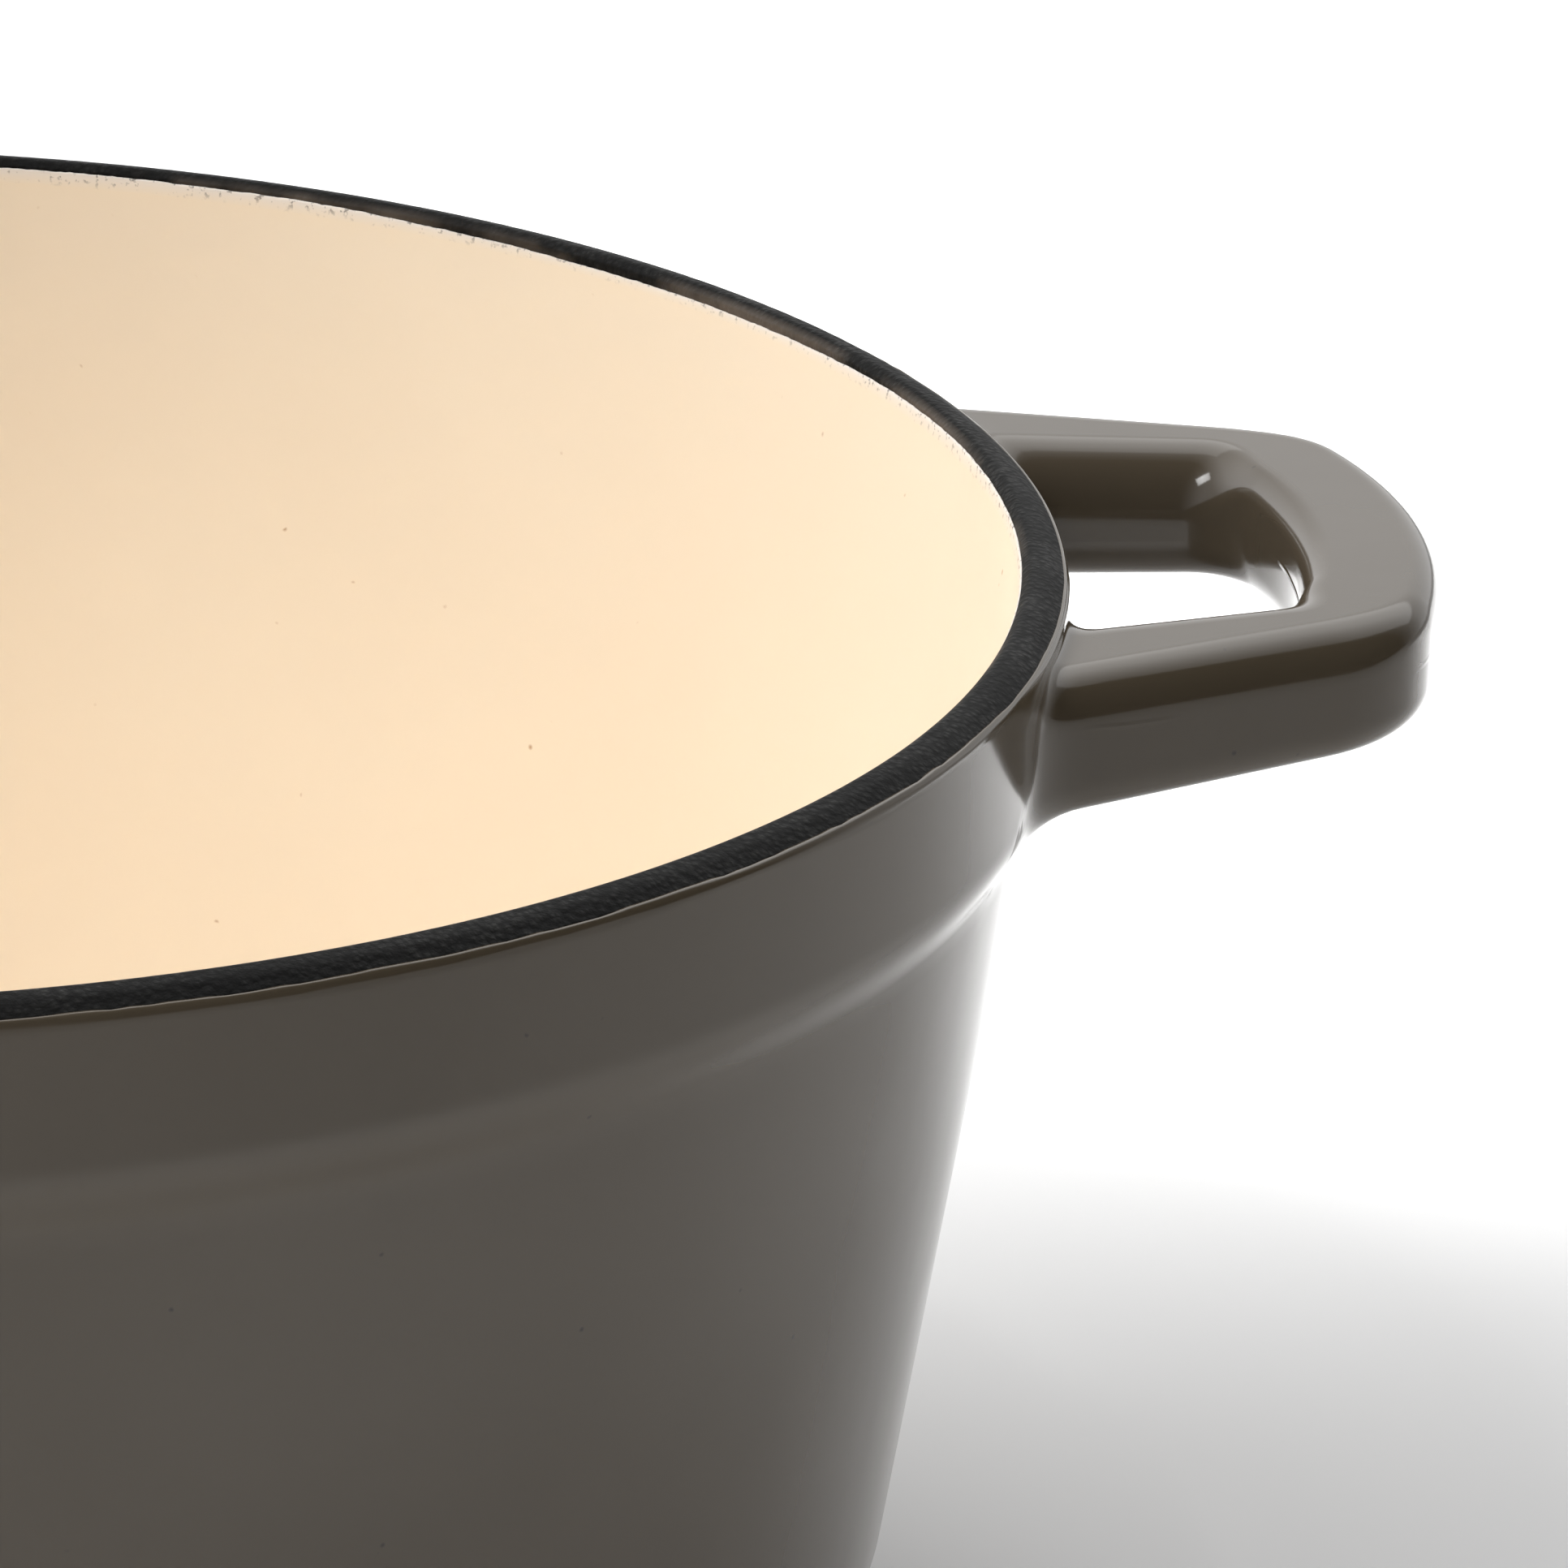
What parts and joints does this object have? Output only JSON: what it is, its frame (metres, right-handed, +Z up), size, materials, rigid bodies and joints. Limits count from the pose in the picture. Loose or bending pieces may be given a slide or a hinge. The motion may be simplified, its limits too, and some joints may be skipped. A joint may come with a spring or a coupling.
{
  "type": "dutch oven",
  "caption": "Round enamelled cast iron dutch oven: tapered pot with a straight collar and cast loop handles, and its low domed lid with a steel knob laid beside it.",
  "frame": {"origin": "centre of the pot's flat base, on the surface that it stands on", "axes": "+Z up through the pot's mouth, X through both handles, +X towards the handle that is away from the lid"},
  "size_m": [0.6282, 0.2672, 0.122],
  "materials": {
    "black_iron": "fine grained matt black",
    "cream_enamel": "smooth gloss enamel, warm cream",
    "taupe_enamel": "smooth gloss enamel, grey taupe",
    "knob_steel": "turned stainless steel, satin",
    "silicone": "matt black silicone",
    "fastener_steel": "plain steel"
  },
  "bodies": {
    "pot": {"pot_casting": "black_iron", "pot_interior_enamel": "cream_enamel", "pot_exterior_enamel": "taupe_enamel"},
    "lid": {"lid_casting": "black_iron", "lid_exterior_enamel": "taupe_enamel", "lid_interior_enamel": "cream_enamel", "lid_knob": "knob_steel", "knob_gasket": "silicone", "knob_washer": "fastener_steel", "knob_screw": "fastener_steel"}
  },
  "joints": [
    {"name": "lid_lift", "type": "slide", "parent": "pot", "child": "lid", "axis": [0, 0, 1], "range_m": [0, 0.25]}
  ]
}
